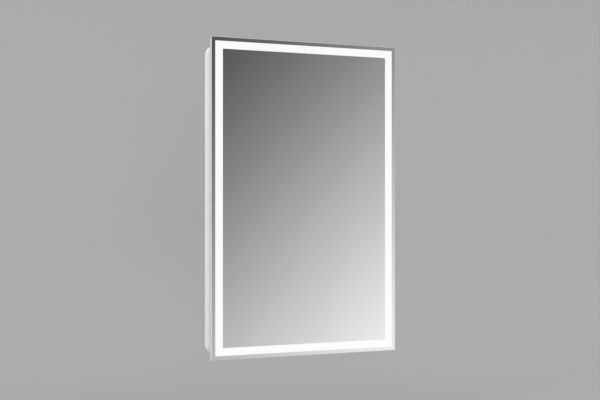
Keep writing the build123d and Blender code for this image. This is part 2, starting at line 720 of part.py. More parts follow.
def light_guide(side):
    """A clear acrylic strip behind the band. It carries the light in from the door's edge."""
    outer, inner = GUIDE_EDGES
    profile = [(outer, GLASS_BACK), (outer, GUIDE_BACK), (inner, GUIDE_BACK), (inner, GLASS_BACK)]
    return mitred_side(profile, side)


def band_reflector():
    """One ring of white film behind the four guides."""
    outer, inner = GUIDE_EDGES
    film = (GUIDE_BACK, GUIDE_BACK + REFLECTOR)
    half_w, half_h = DOOR_WIDTH / 2, DOOR_HEIGHT / 2
    ring = block((outer - half_w, half_w - outer), film, (outer - half_h, half_h - outer))
    return ring - block((inner - half_w, half_w - inner), (-100, 0), (inner - half_h, half_h - inner))


def led_strip(side):
    """A narrow circuit board on the rail's outer wall with a row of chips facing inwards."""
    upright = side in ("hinge", "latch")
    span = (DOOR_WIDTH if upright else DOOR_HEIGHT) / 2
    run = (DOOR_HEIGHT if upright else DOOR_WIDTH) / 2 - LED_END_GAP
    wall = span - FRAME_INSET - RAIL_WALL
    board = wall - LED_BOARD
    strip = block((board, wall), LED_BOARD_Y, (-run, run))
    count = int(2 * run // LED_PITCH)
    for index in range(count):
        z = (index - (count - 1) / 2) * LED_PITCH
        chip_z = (z - LED_CHIP / 2, z + LED_CHIP / 2)
        strip += block((board - LED_CHIP_HEIGHT, board), LED_CHIP_Y, chip_z)
    turn = {"hinge": 0, "latch": 180, "top": -90, "bottom": 90}[side]
    return Rot(0, turn, 0) * strip


def corner_key(side_x, side_z):
    """An L of flat bar that joins two rails."""
    x0, z0 = DOOR_WIDTH / 2, DOOR_HEIGHT / 2
    y = (DOOR_BACK - RAIL_WALL - KEY_THICKNESS, DOOR_BACK - RAIL_WALL)
    near, far = KEY_BAND

    def arm(reach_x, reach_z):
        x = (side_x * (x0 - reach_x), side_x * (x0 - near))
        z = (side_z * (z0 - reach_z), side_z * (z0 - near))
        return block(x, y, z)

    key = arm(far, KEY_ARM) + arm(KEY_ARM, far)
    for x, z in key_screw_places():
        if x * side_x > 0 and z * side_z > 0:
            key -= key_screw(x, z)
    return key


def key_screw_places():
    x0, z0 = DOOR_WIDTH / 2, DOOR_HEIGHT / 2
    near, along = KEY_SCREW_INSET, KEY_SCREW_RUN
    return [
        (side_x * (x0 - inset_x), side_z * (z0 - inset_z))
        for side_x in (-1, 1)
        for side_z in (-1, 1)
        for inset_x, inset_z in ((near, along), (along, near))
    ]


def key_screw(x, z):
    end = (x, DOOR_BACK - RAIL_WALL - KEY_SCREW_REACH, z)
    return countersunk(RIVET_RADIUS, *KEY_SCREW_HEAD, DOOR_BACK, end)


def demister_pad():
    return upright_plate(*DEMISTER_SIZE, DEMISTER_CORNER, GLASS_BACK, GLASS_BACK + DEMISTER)


def door_core():
    """A stiff board that fills the door between its two mirrors."""
    core = upright_plate(*CORE_SIZE, CORE_CORNER, GLASS_BACK + DEMISTER, DOOR_BACK - INNER_GLASS)
    return core - lead_hole()


def lead_hole():
    """Where the lead goes through the inner mirror and the core, under its cover."""
    x, z = sum(BOSS_X) / 2 + LEAD_HOLE_SHIFT[0], sum(BOSS_Z) / 2 + LEAD_HOLE_SHIFT[1]
    return rod(LEAD_HOLE, (x, GLASS_BACK, z), (x, DOOR_BACK + 1, z))


def inner_door_mirror():
    width, height = DOOR_WIDTH - 2 * RAIL_WIDTH - 1, DOOR_HEIGHT - 2 * RAIL_WIDTH - 1
    return upright_plate(width, height, 1, DOOR_BACK - INNER_GLASS, DOOR_BACK) - lead_hole()


def door_lead_boss():
    """A small cover on the door's inner side that the lead goes up into."""
    boss = block(BOSS_X, (DOOR_BACK, DOOR_BACK + BOSS_DEPTH), BOSS_Z)
    boss = fillet(boss.faces().sort_by(Axis.Y)[-1].edges(), BOSS_ROUNDING)
    within = (BOSS_X[0] + BOSS_WALL, BOSS_X[1] - BOSS_WALL)
    depth = (DOOR_BACK, DOOR_BACK + BOSS_DEPTH - BOSS_WALL)
    boss -= block(within, depth, (BOSS_Z[0] + BOSS_FLOOR, BOSS_Z[1] - BOSS_WALL))
    lead_start = (BOSS_LEAD_X, BOSS_LEAD_Y, BOSS_Z[0] - 1)
    return boss - rod(LEAD_RADIUS, lead_start, (BOSS_LEAD_X, BOSS_LEAD_Y, BOSS_Z[0] + BOSS_FLOOR + 1))


def door_lead():
    """From the driver, down through the cover, round a hanging loop, and up into the door."""
    return lead(
        LEAD_RADIUS,
        [
            (DRIVER_X[1], WIRE_Y, DRIVER_LEAD_Z),
            (DRIVER_X[1] + 28, WIRE_Y, DRIVER_LEAD_Z),
            (DOOR_LEAD_X, DOOR_LEAD_Y, DRIVER_LEAD_Z + 2),
            (DOOR_LEAD_X, DOOR_LEAD_Y, LOOP_FOOT),
            (BOSS_LEAD_X, BOSS_LEAD_Y, LOOP_FOOT),
            (BOSS_LEAD_X, BOSS_LEAD_Y, BOSS_Z[0] + BOSS_FLOOR),
        ],
    )


# ---------------------------------------------------------------- write every sub-part
def write_cabinet():
    save("body_shell", body_shell())
    save("front_frame", front_frame())
    save("back_panel", back_panel())
    save("wall_spacers", *[wall_spacer(x, z) for x, z in fixing_places()])
    save("cable_grommet", cable_grommet())
    save("inner_back_mirror", inner_back_mirror())
    for side_name, side in (("left", -1), ("right", 1)):
        for place, y in PILASTER_Y.items():
            save(f"pilaster_{side_name}_{place}", pilaster(side, y))
    for name, peg_index in SHELF_PEGS.items():
        save(f"glass_shelf_{name}", glass_shelf(peg_index))
    save("shelf_pins", *[shelf_pin(*support) for support in shelf_supports()])
    save("shelf_pin_sleeves", *[pin_sleeve(*support) for support in shelf_supports()])
    save("driver_cover", driver_cover())
    save("driver_cover_screws", *[cover_screw(x, z) for x, z in cover_screw_places()])
    save("lead_grommet", lead_grommet())
    save("led_driver", led_driver())
    save("terminal_block", terminal_block())
    save("supply_wires", *supply_wires())
    save("cable_trunking", cable_trunking())
    save("switch_lead", switch_lead())
    save("door_lead", door_lead())
    save("hinge_body_leaf", hinge_body_leaf())
    save("hinge_pin", hinge_pin())
    save("hinge_body_rivets", *[body_rivet(z) for z in rivet_heights()])
    save("catch_cups", *[catch_cup(x, z) for x, z in catch_places()])
    save("catch_magnets", *[catch_magnet(x, z) for x, z in catch_places()])
    save("door_bumpers", *[door_bumper(x, z) for x, z in bumper_places()])


def write_button():
    save("button_bezel", button_bezel())
    save("button_nut", button_nut())
    save("button_cap", button_cap())
    save("button_spring", button_spring())
    save("switch_module", switch_module())
    save("switch_cover", switch_cover())


def write_door():
    save("mirror_glass", mirror_glass())
    for side in ("top", "bottom", "hinge", "latch"):
        save(f"door_rail_{side}", door_rail(side))
        save(f"light_guide_{side}", light_guide(side))
        save(f"led_strip_{side}", led_strip(side))
    save("band_reflector", band_reflector())
    save("corner_keys", *[corner_key(side_x, side_z) for side_x in (-1, 1) for side_z in (-1, 1)])
    save("corner_key_screws", *[key_screw(x, z) for x, z in key_screw_places()])
    save("demister_pad", demister_pad())
    save("door_core", door_core())
    save("inner_door_mirror", inner_door_mirror())
    save("strike_plates", *[strike_plate(x, z) for x, z in catch_places()])
    save("hinge_door_leaf", hinge_door_leaf())
    save("hinge_door_rivets", *[door_rivet(z) for z in rivet_heights()])
    save("door_lead_boss", door_lead_boss())


os.makedirs("parts", exist_ok=True)
write_cabinet()
write_button()
write_door()
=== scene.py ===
"""Looks for a wall-hung medicine cabinet with a lit mirror door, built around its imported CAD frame.

Metres. X runs to the right, -Y is the front, +Z is up, and the wall is the plane y = 0.
"""

import json
import math

import bmesh
import bpy
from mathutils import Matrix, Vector


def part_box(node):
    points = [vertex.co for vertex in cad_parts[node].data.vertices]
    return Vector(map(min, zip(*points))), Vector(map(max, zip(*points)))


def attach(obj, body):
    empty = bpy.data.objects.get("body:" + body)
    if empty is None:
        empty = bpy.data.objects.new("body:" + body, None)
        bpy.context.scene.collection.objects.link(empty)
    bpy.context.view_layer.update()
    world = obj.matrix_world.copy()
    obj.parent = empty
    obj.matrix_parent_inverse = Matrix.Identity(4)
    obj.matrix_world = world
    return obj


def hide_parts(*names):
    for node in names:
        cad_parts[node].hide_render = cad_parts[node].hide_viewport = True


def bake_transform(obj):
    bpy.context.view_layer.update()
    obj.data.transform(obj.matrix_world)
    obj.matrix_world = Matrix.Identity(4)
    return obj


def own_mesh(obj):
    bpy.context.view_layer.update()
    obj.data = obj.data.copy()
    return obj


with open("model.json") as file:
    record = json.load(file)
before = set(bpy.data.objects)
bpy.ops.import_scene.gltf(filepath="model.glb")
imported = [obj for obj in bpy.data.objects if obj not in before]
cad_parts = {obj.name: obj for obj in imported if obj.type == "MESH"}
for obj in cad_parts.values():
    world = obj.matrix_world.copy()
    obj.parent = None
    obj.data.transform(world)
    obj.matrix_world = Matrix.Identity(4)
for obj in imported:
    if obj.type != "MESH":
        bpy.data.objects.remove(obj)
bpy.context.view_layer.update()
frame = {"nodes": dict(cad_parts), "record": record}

MM = 0.001

# the front mirror
BAND_INSET = 9.8 * MM  # from the glass edge to the frosted band
BAND_WIDTH = 19.4 * MM
ARRIS = 0.5 * MM  # the ground corner of the glass

LEAD_RADIUS = 1.5 * MM

# the button's spring
SPRING_WIRE = 0.35 * MM  # radius of the wire
SPRING_COIL = 3.6 * MM  # radius of the helix
SPRING_TURNS = 4
SPRING_CLOSING = 0.12  # how much closer the turns lie at the ends, as a share of the pitch

# painted shade: the wrap's coat is painted darker next to the door, standing for the shade under the
# door's edge
PAINTED_SHADE_SHARE = 0.71  # its brightness there
PAINTED_SHADE_Y = (-22 * MM, -64 * MM)  # where the painted shade starts, and where it is full

# how the procedural textures are laid out
NOISE_LOW, NOISE_HIGH = 0.3, 0.7  # most of a noise pattern's values lie between these
SLANTED, SQUARE_ON = 0.75, 0.95  # how much of a face's normal lies along the axis that it is tested for
CLOUD_RATE = 14  # soft clouds in a metre of a plain finish
CLOUD_GLOSS = 0.1  # share by which they change the roughness
GRAIN_GLOSS = 0.12  # share by which the fine grain does
BRUSH_RATE = 2600  # brush lines in a metre
BRUSH_STRETCH = 0.012  # rate of the pattern along the lines, against across them
BRUSH_RELIEF = 0.005 * MM
ALONG_EDGES = (0.02, 1, 0.02)  # stretches a noise into lines along the edges of an upright pane
LENGTHWAYS, ACROSS = 2, 0  # axes that brush lines run along

# colour sockets of a mix node, by number because its sockets share their names
FIRST_COLOUR, SECOND_COLOUR, MIXED_COLOUR = 6, 7, 2

# the studio
WALL_LEVEL = 182  # display level of the backdrop's paint
WORLD_GREY = (0.5, 0.5, 0.5, 1)
STUDIO_GAIN = 1.12  # strength of the reflected studio, which makes up for what the silver takes
SPHERE_RADIUS = 30  # of the studio that mirrors reflect

# the camera stands to the left of the object, and looks level and to the right
CAMERA_PLACE = (-0.8372, -2.3317, -0.0165)
CAMERA_TURN = 20  # degrees away from looking straight at the wall
CAMERA_LENS = 56.4  # millimetres
CAMERA_SHIFT = 0.0084  # upwards, as a share of the frame's width


def linear(level):
    """Scene-linear value of an sRGB display level from 0 to 255."""
    value = level / 255
    return value / 12.92 if value <= 0.04045 else ((value + 0.055) / 1.055) ** 2.4


def grey(level):
    return (linear(level),) * 3 + (1,)


def colour(red, green, blue):
    """Scene-linear colour from display levels."""
    return (linear(red), linear(green), linear(blue), 1)


def scaled(base, share):
    """The colour, brighter or darker by that share of its scene-linear value."""
    return tuple(min(1, part * share) for part in base[:3]) + (1,)


# ---------------------------------------------------------------- materials
class Surface:
    """A Principled material with small helpers that add procedural textures to it."""

    def __init__(self, name, **sockets):
        self.material = bpy.data.materials.new(name)
        self.material.use_nodes = True
        self.tree = self.material.node_tree
        self.shader = self.tree.nodes["Principled BSDF"]
        coordinates = self.node("ShaderNodeTexCoord").outputs
        self.place = coordinates["Object"]
        self.normal = coordinates["Normal"]
        for socket, value in sockets.items():
            self.shader.inputs[socket.replace("_", " ")].default_value = value

    def node(self, kind, **settings):
        made = self.tree.nodes.new(kind)
        for key, value in settings.items():
            setattr(made, key, value)
        return made

    def link(self, source, target):
        self.tree.links.new(source, target)

    def noise(self, per_metre, stretch=(1, 1, 1), detail=3):
        """Noise with that many blobs in a metre. stretch scales the pattern's rate along each axis."""
        mapping = self.node("ShaderNodeMapping")
        mapping.inputs["Scale"].default_value = stretch
        self.link(self.place, mapping.inputs["Vector"])
        noise = self.node("ShaderNodeTexNoise")
        noise.inputs["Scale"].default_value = per_metre
        noise.inputs["Detail"].default_value = detail
        self.link(mapping.outputs["Vector"], noise.inputs["Vector"])
        return noise.outputs["Fac"]

    def cells(self, per_metre):
        """Distance to the middle of the nearest cell, with that many cells in a metre."""
        cells = self.node("ShaderNodeTexVoronoi")
        cells.inputs["Scale"].default_value = per_metre
        self.link(self.place, cells.inputs["Vector"])
        return cells.outputs["Distance"]

    def spread(self, source, low, high, start=NOISE_LOW, end=NOISE_HIGH):
        """A factor that runs from low to high as the source goes from start to end."""
        mapped = self.node("ShaderNodeMapRange")
        for socket, value in zip(("From Min", "From Max", "To Min", "To Max"), (start, end, low, high)):
            mapped.inputs[socket].default_value = value
        self.link(source, mapped.inputs["Value"])
        return mapped.outputs["Result"]

    def blend(self, factor, first, second):
        """A colour from first to second as factor goes from 0 to 1."""
        mix = self.node("ShaderNodeMix", data_type="RGBA")
        self.link(factor, mix.inputs["Factor"])
        for value, socket in ((first, mix.inputs[FIRST_COLOUR]), (second, mix.inputs[SECOND_COLOUR])):
            if isinstance(value, tuple):
                socket.default_value = value
            else:
                self.link(value, socket)
        return mix.outputs[MIXED_COLOUR]

    def tint(self, source, first, second, start=NOISE_LOW, end=NOISE_HIGH):
        """A colour from first to second as the source goes from start to end."""
        return self.blend(self.spread(source, 0, 1, start, end), first, second)

    def total(self, first, second):
        """The sum of two factors."""
        add = self.node("ShaderNodeMath", operation="ADD")
        self.link(first, add.inputs[0])
        self.link(second, add.inputs[1])
        return add.outputs["Value"]

    def colour(self, source):
        self.link(source, self.shader.inputs["Base Color"])

    def roughness(self, source):
        self.link(source, self.shader.inputs["Roughness"])

    def relief(self, *layers):
        """Bumps, each a height source and how high it is in metres."""
        below = None
        for height, depth in layers:
            bump = self.node("ShaderNodeBump")
            bump.inputs["Distance"].default_value = depth
            self.link(height, bump.inputs["Height"])
            if below:
                self.link(below, bump.inputs["Normal"])
            below = bump.outputs["Normal"]
        self.link(below, self.shader.inputs["Normal"])

    def facing(self, axis):
        """1 on faces square to that axis and 0 on the others."""
        parts = self.node("ShaderNodeSeparateXYZ")
        self.link(self.normal, parts.inputs["Vector"])
        size = self.node("ShaderNodeMath", operation="ABSOLUTE")
        self.link(parts.outputs[axis], size.inputs[0])
        return self.spread(size.outputs["Value"], 0, 1, SLANTED, SQUARE_ON)


def plain(name, base, roughness, per_metre, height, mottle=0.04, stretch=(1, 1, 1), **sockets):
    """A finish with a fine relief, faint cloudy colour and uneven gloss."""
    surface = Surface(name, Base_Color=base, **sockets)
    cloud = surface.noise(CLOUD_RATE, detail=4)
    grain = surface.noise(per_metre, stretch)
    surface.colour(surface.tint(cloud, scaled(base, 1 - mottle), scaled(base, 1 + mottle)))
    fine = surface.spread(grain, -GRAIN_GLOSS * roughness, GRAIN_GLOSS * roughness)
    broad = surface.spread(cloud, (1 - CLOUD_GLOSS) * roughness, (1 + CLOUD_GLOSS) * roughness)
    surface.roughness(surface.total(fine, broad))
    surface.relief((grain, height))
    return surface.material


def powder_coat(name, base, painted_shade_span=None):
    """White powder coat: a fine orange peel over a faint wave of the sheet.

    painted_shade_span is the pair of y between which the coat is painted darker, as painted shade.
    """
    surface = Surface(name, Specular_IOR_Level=0.42)
    wave = surface.noise(per_metre=6, detail=5)
    peel = surface.noise(per_metre=620, detail=2)
    speck = surface.noise(per_metre=2400, detail=1)
    tone = surface.tint(wave, scaled(base, 0.975), scaled(base, 1.02))
    if painted_shade_span:
        # painted shade: the coat darkens along y towards the door
        parts = surface.node("ShaderNodeSeparateXYZ")
        surface.link(surface.place, parts.inputs["Vector"])
        tone = surface.tint(parts.outputs["Y"], tone, scaled(base, PAINTED_SHADE_SHARE), *painted_shade_span)
    surface.colour(tone)
    surface.roughness(surface.spread(peel, low=0.34, high=0.46))
    surface.relief((wave, 0.12 * MM), (peel, 0.025 * MM), (speck, 0.005 * MM))
    return surface.material


def satin_metal(name, base, roughness, along):
    """Metal with die or brush lines along one axis, 0, 1 or 2."""
    stretch = [1, 1, 1]
    stretch[along] = BRUSH_STRETCH
    sheen = {"Metallic": 0.92, "Anisotropic": 0.35}
    return plain(name, base, roughness, BRUSH_RATE, BRUSH_RELIEF, mottle=0.03, stretch=stretch, **sheen)


def bare_metal(name, base, roughness):
    """Plated or polished metal with faint handling marks."""
    return plain(name, base, roughness, per_metre=900, height=0.004 * MM, mottle=0.05, Metallic=1.0)


def silver(name, base):
    """A silvered mirror face with hardly visible wiping marks, as a surface and its tone."""
    surface = Surface(name, Metallic=1.0)
    wipe = surface.noise(per_metre=9, stretch=(1, 1, 0.35), detail=5)
    tone = surface.tint(wipe, scaled(base, 0.994), scaled(base, 1.006))
    surface.colour(tone)
    surface.roughness(surface.spread(wipe, low=0.012, high=0.03))
    surface.relief((surface.noise(per_metre=5, detail=1), 0.006 * MM))
    return surface, tone


def glass_edge_tone(surface, dark, light):
    """Glass seen edge on, with faint grinding lines."""
    lines = surface.noise(per_metre=1500, stretch=ALONG_EDGES)
    return surface.tint(lines, dark, light)


def mirror_edge():
    """The door's ground glass edge, which picks up the warm grey of the rail behind it."""
    surface = Surface("mirror_glass_edge", Coat_Weight=0.3, Coat_Roughness=0.12)
    surface.colour(glass_edge_tone(surface, colour(212, 208, 207), colour(224, 220, 219)))
    surface.roughness(surface.spread(surface.noise(per_metre=1200), low=0.2, high=0.3))
    surface.relief((surface.noise(per_metre=1800, stretch=(0.03, 1, 0.03)), 0.002 * MM))
    return surface.material


def inner_mirror():
    """Silvered on its broad faces, and clear green glass on its ground edges."""
    surface, tone = silver("inner_mirror_silvered", colour(236, 238, 237))
    broad = surface.facing("Y")
    edge = glass_edge_tone(surface, colour(196, 208, 204), colour(220, 227, 225))
    surface.colour(surface.blend(broad, edge, tone))
    metallic = surface.spread(broad, low=0.1, high=1, start=0, end=1)
    surface.link(metallic, surface.shader.inputs["Metallic"])
    return surface.material


def lit_band():
    """The sandblasted band, lit from behind through the glass."""
    surface = Surface("frosted_band_lit", Coat_Weight=0.5, Coat_Roughness=0.06, Emission_Strength=1.0)
    grain = surface.noise(per_metre=3200, detail=2)
    drift = surface.noise(per_metre=7, detail=2)
    surface.colour(surface.tint(grain, grey(48), grey(60)))
    glow = surface.tint(drift, grey(243), grey(246))
    speckled = surface.tint(grain, scaled(grey(245), 0.985), glow)
    surface.link(speckled, surface.shader.inputs["Emission Color"])
    surface.roughness(surface.spread(grain, low=0.35, high=0.5))
    surface.relief((grain, 0.01 * MM))
    return surface.material


def shelf_glass():
    """Clear glass whose ground edges show its green."""
    surface = Surface("shelf_glass_clear", Transmission_Weight=1.0, IOR=1.5, Specular_IOR_Level=0.5)
    broad = surface.facing("Z")
    wipe = surface.noise(per_metre=11, detail=4)
    clear = surface.tint(wipe, colour(244, 250, 248), colour(250, 253, 252))
    lines = surface.noise(per_metre=1300, stretch=(0.02, 0.02, 1), detail=1)
    edge = surface.tint(lines, colour(150, 196, 183), colour(186, 218, 209))
    surface.colour(surface.blend(broad, edge, clear))
    ground_or_smooth = surface.spread(broad, low=0.16, high=0.01, start=0, end=1)
    smeared = surface.spread(wipe, low=0, high=0.015)
    surface.roughness(surface.total(ground_or_smooth, smeared))
    surface.relief((lines, 0.001 * MM))
    return surface.material


def led_board():
    """White solder mask with faint copper tracks under it and yellow light chips on it."""
    surface = Surface("led_board_white")
    tracks = surface.noise(per_metre=210, stretch=(1, 1, 0.15), detail=1)
    board = surface.tint(tracks, grey(232), colour(206, 208, 200), start=0.48, end=0.52)
    chip = surface.spread(surface.cells(per_metre=120), low=1, high=0, start=0.15, end=0.2)
    surface.colour(surface.blend(chip, board, colour(240, 214, 120)))
    surface.roughness(surface.spread(tracks, low=0.35, high=0.5))
    surface.relief((tracks, 0.03 * MM))
    return surface.material


def heating_foil():
    """Amber foil with printed tracks side by side."""
    surface = Surface("heating_foil_amber", Specular_IOR_Level=0.6)
    wave = surface.node("ShaderNodeTexWave", bands_direction="X")
    wave.inputs["Scale"].default_value = 28
    wave.inputs["Distortion"].default_value = 0.3
    surface.link(surface.place, wave.inputs["Vector"])
    track = surface.spread(wave.outputs["Fac"], 0, 1, start=0.62, end=0.68)
    surface.colour(surface.blend(track, colour(205, 148, 52), colour(120, 84, 44)))
    surface.roughness(surface.spread(surface.noise(per_metre=300), low=0.25, high=0.4))
    surface.relief((track, 0.02 * MM), (surface.noise(per_metre=60), 0.05 * MM))
    return surface.material


def foam_board():
    """Rigid foam with fine closed cells."""
    surface = Surface("foam_board_cream")
    fill = surface.spread(surface.cells(per_metre=700), 0, 1, start=0.1, end=0.8)
    surface.colour(surface.blend(fill, colour(226, 220, 204), colour(206, 198, 178)))
    surface.roughness(surface.spread(surface.noise(per_metre=40), low=0.75, high=0.9))
    surface.relief((fill, 0.08 * MM))
    return surface.material


# slot: material name, colour, roughness, grains in a metre, their height in millimetres, other values
PLAIN_FINISHES = {
    "plastic_white": ("moulded_white", colour(214, 214, 211), 0.38, 1100, 0.02, {}),
    "lead_white": ("soft_lead_white", colour(212, 212, 208), 0.55, 1500, 0.015, {}),
    "guide_acrylic": (
        "guide_acrylic_clear", colour(243, 246, 248), 0.12, 500, 0.01, {"Transmission_Weight": 0.7}
    ),
    "film_white": ("film_white", grey(242), 0.6, 1800, 0.01, {"mottle": 0.01}),
    "plastic_grey": ("moulded_grey", colour(150, 152, 154), 0.5, 1000, 0.03, {}),
    "driver_white": ("driver_housing_white", colour(226, 226, 221), 0.5, 800, 0.04, {}),
    "terminal_grey": ("terminal_grey", colour(172, 174, 178), 0.45, 900, 0.03, {}),
    "wire_brown": ("wire_brown", colour(112, 72, 48), 0.5, 1500, 0.01, {}),
    "rubber_black": ("rubber_black", grey(44), 0.62, 700, 0.05, {"mottle": 0.12}),
    "clear_silicone": (
        "silicone_clear", colour(238, 241, 242), 0.3, 900, 0.015, {"Transmission_Weight": 0.35}
    ),
}

# slot: material name, colour, roughness
BARE_METALS = {
    "key_aluminium": ("key_mill_finish", colour(200, 200, 202), 0.42),
    "fastener_steel": ("fastener_zinc", colour(216, 217, 220), 0.36),
    "pin_steel": ("pin_polished", colour(214, 214, 216), 0.14),
    "magnet_steel": ("magnet_nickel", colour(168, 167, 164), 0.26),
    "spring_steel": ("spring_wire", colour(186, 186, 190), 0.24),
    "button_chrome": ("button_satin_chrome", colour(214, 214, 216), 0.18),
}

# brush lines run along each door rail: name, axis, sides
RAIL_RUNS = (
    ("upright", LENGTHWAYS, ("hinge", "latch")),
    ("level", ACROSS, ("top", "bottom")),
)
RAIL_TONE = colour(238, 231, 231)

LIGHT_BAR = colour(214, 214, 216)
HINGE_TONE = colour(226, 226, 227)

slot_materials = {
    "inner_mirror": inner_mirror(),
    "shelf_glass": shelf_glass(),
    # painted shade: the same white coat as the wrap's, made darker for the other white parts, which face
    # the lamps more squarely
    "body_white": powder_coat("powder_coat_inside_painted_shade", colour(213, 214, 213)),
    "bar_aluminium": satin_metal("bar_anodised", LIGHT_BAR, roughness=0.34, along=LENGTHWAYS),
    "hinge_steel": satin_metal("hinge_brushed_steel", HINGE_TONE, roughness=0.36, along=LENGTHWAYS),
    "led_board": led_board(),
    "core_board": foam_board(),
    "pad_foil": heating_foil(),
}
for slot, (name, base, roughness, per_metre, height, others) in PLAIN_FINISHES.items():
    slot_materials[slot] = plain(name, base, roughness, per_metre, height * MM, **others)
for slot, finish in BARE_METALS.items():
    slot_materials[slot] = bare_metal(*finish)


def dress(name, material):
    frame["nodes"][name].material_slots[0].material = material


for part in frame["record"]["subparts"]:
    if part["material_slot"] in slot_materials:
        dress(part["node"], slot_materials[part["material_slot"]])
for run, along, sides in RAIL_RUNS:
    anodised = satin_metal(f"rail_anodised_{run}", RAIL_TONE, roughness=0.36, along=along)
    for side in sides:
        dress(f"door_rail_{side}", anodised)
# the wrap's coat, with painted shade next to the door
dress("body_shell", powder_coat("powder_coat_wrap", colour(229, 230, 229), PAINTED_SHADE_Y))


# ---------------------------------------------------------------- pieces
def piece(name, mesh, *materials):
    """An object of that mesh in the scene, with its materials in order."""
    made = bpy.data.objects.new(name, mesh)
    bpy.context.scene.collection.objects.link(made)
    for material in materials:
        mesh.materials.append(material)
    return made


def built_mesh(bm, name):
    """The faces as a mesh, with their normals all to one side, outwards where they close."""
    bmesh.ops.recalc_face_normals(bm, faces=bm.faces)
    mesh = bpy.data.meshes.new(name)
    bm.to_mesh(mesh)
    bm.free()
    return mesh


def join_rings(bm, near, far):
    """A strip of quads between two closed rings that have as many points each."""
    count = len(near)
    strip = []
    for here in range(count):
        after = (here + 1) % count
        strip.append(bm.faces.new((near[here], near[after], far[after], far[here])))
    return strip


def rectangle(bm, inset, y, low, high):
    """Four corners of an upright rectangle, inset from the node's box, anticlockwise from the front."""
    corners = (
        (low.x + inset, low.z + inset),
        (high.x - inset, low.z + inset),
        (high.x - inset, high.z - inset),
        (low.x + inset, high.z - inset),
    )
    return [bm.verts.new((x, y, z)) for x, z in corners]


def mirror_door_glass():
    """The front mirror as one closed mesh: silver, lit band, clear margin, ground edges, painted back."""
    low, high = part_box("mirror_glass")
    silvered, margin, band, edge, back = range(5)
    bm = bmesh.new()
    rings = [
        rectangle(bm, BAND_INSET + BAND_WIDTH, low.y, low, high),
        rectangle(bm, BAND_INSET, low.y, low, high),
        rectangle(bm, ARRIS, low.y, low, high),
        rectangle(bm, 0, low.y + ARRIS, low, high),
        rectangle(bm, 0, high.y - ARRIS, low, high),
        rectangle(bm, ARRIS, high.y, low, high),
    ]
    bm.faces.new(rings[0]).material_index = silvered
    finishes = (band, margin, edge, edge, edge)
    for inner, outer, finish in zip(rings, rings[1:], finishes):
        for face in join_rings(bm, inner, outer):
            face.material_index = finish
    bm.faces.new(reversed(rings[-1])).material_index = back
    silvered_face, _ = silver("mirror_silvered", grey(241))
    margin_face, _ = silver("mirror_margin", grey(238))
    return piece(
        "mirror_with_band",
        built_mesh(bm, "mirror_with_band"),
        silvered_face.material,
        margin_face.material,
        lit_band(),
        mirror_edge(),
        plain("mirror_back_paint", colour(96, 100, 106), roughness=0.6, per_metre=900, height=0.02 * MM),
    )


def smooth_line(name, points, radius):
    """A round cord along a smooth spline, as a mesh. The points are in millimetres."""
    curve = bpy.data.curves.new(name, "CURVE")
    curve.dimensions = "3D"
    curve.bevel_depth = radius
    curve.bevel_resolution = 5
    curve.use_fill_caps = True
    curve.resolution_u = 14
    spline = curve.splines.new("NURBS")
    spline.points.add(len(points) - 1)
    for spot, place in zip(spline.points, points):
        spot.co = (*(Vector(place) * MM), 1)
    spline.order_u = 3
    spline.use_endpoint_u = True
    holder = bpy.data.objects.new(name + "_line", curve)
    mesh = bpy.data.meshes.new_from_object(holder)
    bpy.data.objects.remove(holder)
    mesh.name = name
    mesh.shade_smooth()
    return mesh


def door_lead():
    """The low-voltage lead, which hangs in a loop between the cover and the door."""
    cabinet_side = (185, -53, 292)
    door_side = (215, -63.1, 290)
    # in millimetres: from the driver, down out of the cover, round the hanging loop and up into the door
    points = [
        (130, -16, 364),
        (158, -16, 364),
        (185, -53, 366),
        (185, -53, 346),
        cabinet_side,
        (200, -58, 258),
        door_side,
        (215, -63.1, 314),
    ]
    line = smooth_line("door_lead_loop", points, LEAD_RADIUS)
    lead = piece("door_lead_loop", line, slot_materials["lead_white"])
    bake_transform(lead)
    return lead


def coil_spring():
    """A compression spring between the button and the switch, wound a little closer at its ends."""
    low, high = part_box("button_spring")
    centre = (low + high) / 2
    steps_a_turn, round_steps = 28, 10
    steps = steps_a_turn * SPRING_TURNS
    travel = high.z - low.z - 2 * SPRING_WIRE
    bm = bmesh.new()
    rings = []
    for step in range(steps + 1):
        share = step / steps
        angle = math.tau * SPRING_TURNS * share
        climb = share - SPRING_CLOSING * math.sin(math.tau * share) / math.tau
        outward = Vector((math.cos(angle), math.sin(angle), 0))
        middle = Vector((centre.x, centre.y, low.z + SPRING_WIRE + travel * climb)) + outward * SPRING_COIL
        ring = []
        for part in range(round_steps):
            turn = math.tau * part / round_steps
            offset = outward * math.cos(turn) + Vector((0, 0, math.sin(turn)))
            ring.append(bm.verts.new(middle + offset * SPRING_WIRE))
        rings.append(ring)
    for near, far in zip(rings, rings[1:]):
        join_rings(bm, near, far)
    bm.faces.new(reversed(rings[0]))
    bm.faces.new(rings[-1])
    mesh = built_mesh(bm, "button_coil_spring")
    mesh.shade_smooth()
    spring = piece("button_coil_spring", mesh, slot_materials["spring_steel"])
    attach(spring, "cabinet")
    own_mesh(spring)
    return spring


mirror = mirror_door_glass()
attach(mirror, "door")
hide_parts("mirror_glass")

lead = door_lead()
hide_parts("door_lead")

spring = coil_spring()
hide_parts("button_spring")


# ---------------------------------------------------------------- studio
def hide_from(made, *kinds):
    """Makes an object invisible to those kinds of rays."""
    for kind in kinds:
        setattr(made, f"visible_{kind}", False)


